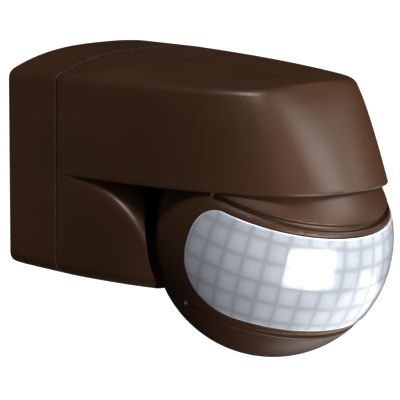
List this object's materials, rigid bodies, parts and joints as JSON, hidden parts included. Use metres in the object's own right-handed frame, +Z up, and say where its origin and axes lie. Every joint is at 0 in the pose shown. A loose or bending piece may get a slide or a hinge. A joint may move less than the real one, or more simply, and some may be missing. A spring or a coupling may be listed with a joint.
{
  "type": "motion sensor",
  "caption": "Wall-mounted outdoor motion sensor: an arched, hooded housing over a ball head that pans and tilts and carries a wraparound faceted lens and setting dials.",
  "frame": {"origin": "centre of the wall base's back face, in the plane of the wall", "axes": "+Z up, +Y into the wall, -Y the way the sensor looks, +X to the right of someone facing the sensor"},
  "size_m": [0.075, 0.1116, 0.0872],
  "materials": {
    "brown_plastic": "chocolate brown moulded casing, satin with a fine eroded grain",
    "lens_plastic": "milky translucent moulded lens film, glossy outside, faceted inside",
    "black_plastic": "satin black moulding",
    "rubber": "matt black elastomer",
    "steel": "zinc-plated",
    "brass": "plain",
    "grey_plastic": "grey moulding",
    "circuit_board": "green solder mask",
    "blue_component": "blue resin",
    "orange_component": "orange resin",
    "red_lamp": "clear red",
    "clear_lamp": "water clear"
  },
  "bodies": {
    "housing": {"wall_base": "brown_plastic", "wall_seal": "rubber", "rear_cable_grommet": "rubber", "bottom_cable_grommet": "rubber", "housing_gasket": "rubber", "front_housing": "brown_plastic", "housing_screw": "steel", "terminal_block": "grey_plastic", "terminal_screw_1": "brass", "terminal_screw_2": "brass", "terminal_screw_3": "brass", "transfer_plug": "black_plastic", "power_board": "circuit_board", "power_board_screw_1": "steel", "power_board_screw_2": "steel", "relay": "blue_component", "film_capacitor": "orange_component", "smoothing_capacitor": "black_plastic", "varistor": "blue_component", "fuse": "steel", "head_plug": "grey_plastic", "sensor_lead_in_housing": "black_plastic"},
    "swivel": {"swivel_fork": "black_plastic", "retaining_clip": "steel", "friction_washer": "steel", "sensor_lead_in_stem": "black_plastic"},
    "head": {"head_shell": "brown_plastic", "head_back_cover": "brown_plastic", "lens": "lens_plastic", "tilt_pin_left": "steel", "tilt_washer_left": "steel", "tilt_pin_right": "steel", "tilt_washer_right": "steel", "sensor_board": "circuit_board", "board_screw_1": "steel", "board_screw_2": "steel", "sensor_holder": "black_plastic", "pyro_sensor_centre": "steel", "pyro_sensor_left": "steel", "pyro_sensor_right": "steel", "light_sensor": "clear_lamp", "status_lamp": "red_lamp", "time_trimmer": "blue_component", "light_trimmer": "blue_component", "sensor_lead_in_head": "black_plastic"},
    "time_setting": {"time_dial": "black_plastic"},
    "light_setting": {"light_dial": "black_plastic"}
  },
  "joints": [
    {"name": "head_pan", "type": "hinge", "parent": "housing", "child": "swivel", "pos_m": [0, -0.076, -0.017], "axis": [0, 0, 1], "range_deg": [-40, 40]},
    {"name": "head_tilt", "type": "hinge", "parent": "swivel", "child": "head", "pos_m": [0, -0.076, -0.017], "axis": [1, 0, 0], "range_deg": [-18, 30]},
    {"name": "time_dial_turn", "type": "hinge", "parent": "head", "child": "time_setting", "pos_m": [-0.008, -0.06401, -0.04652], "axis": [0, -0.3173, 0.9483], "range_deg": [-135, 135]},
    {"name": "light_dial_turn", "type": "hinge", "parent": "head", "child": "light_setting", "pos_m": [0.008, -0.06401, -0.04652], "axis": [0, -0.3173, 0.9483], "range_deg": [-135, 135]}
  ]
}
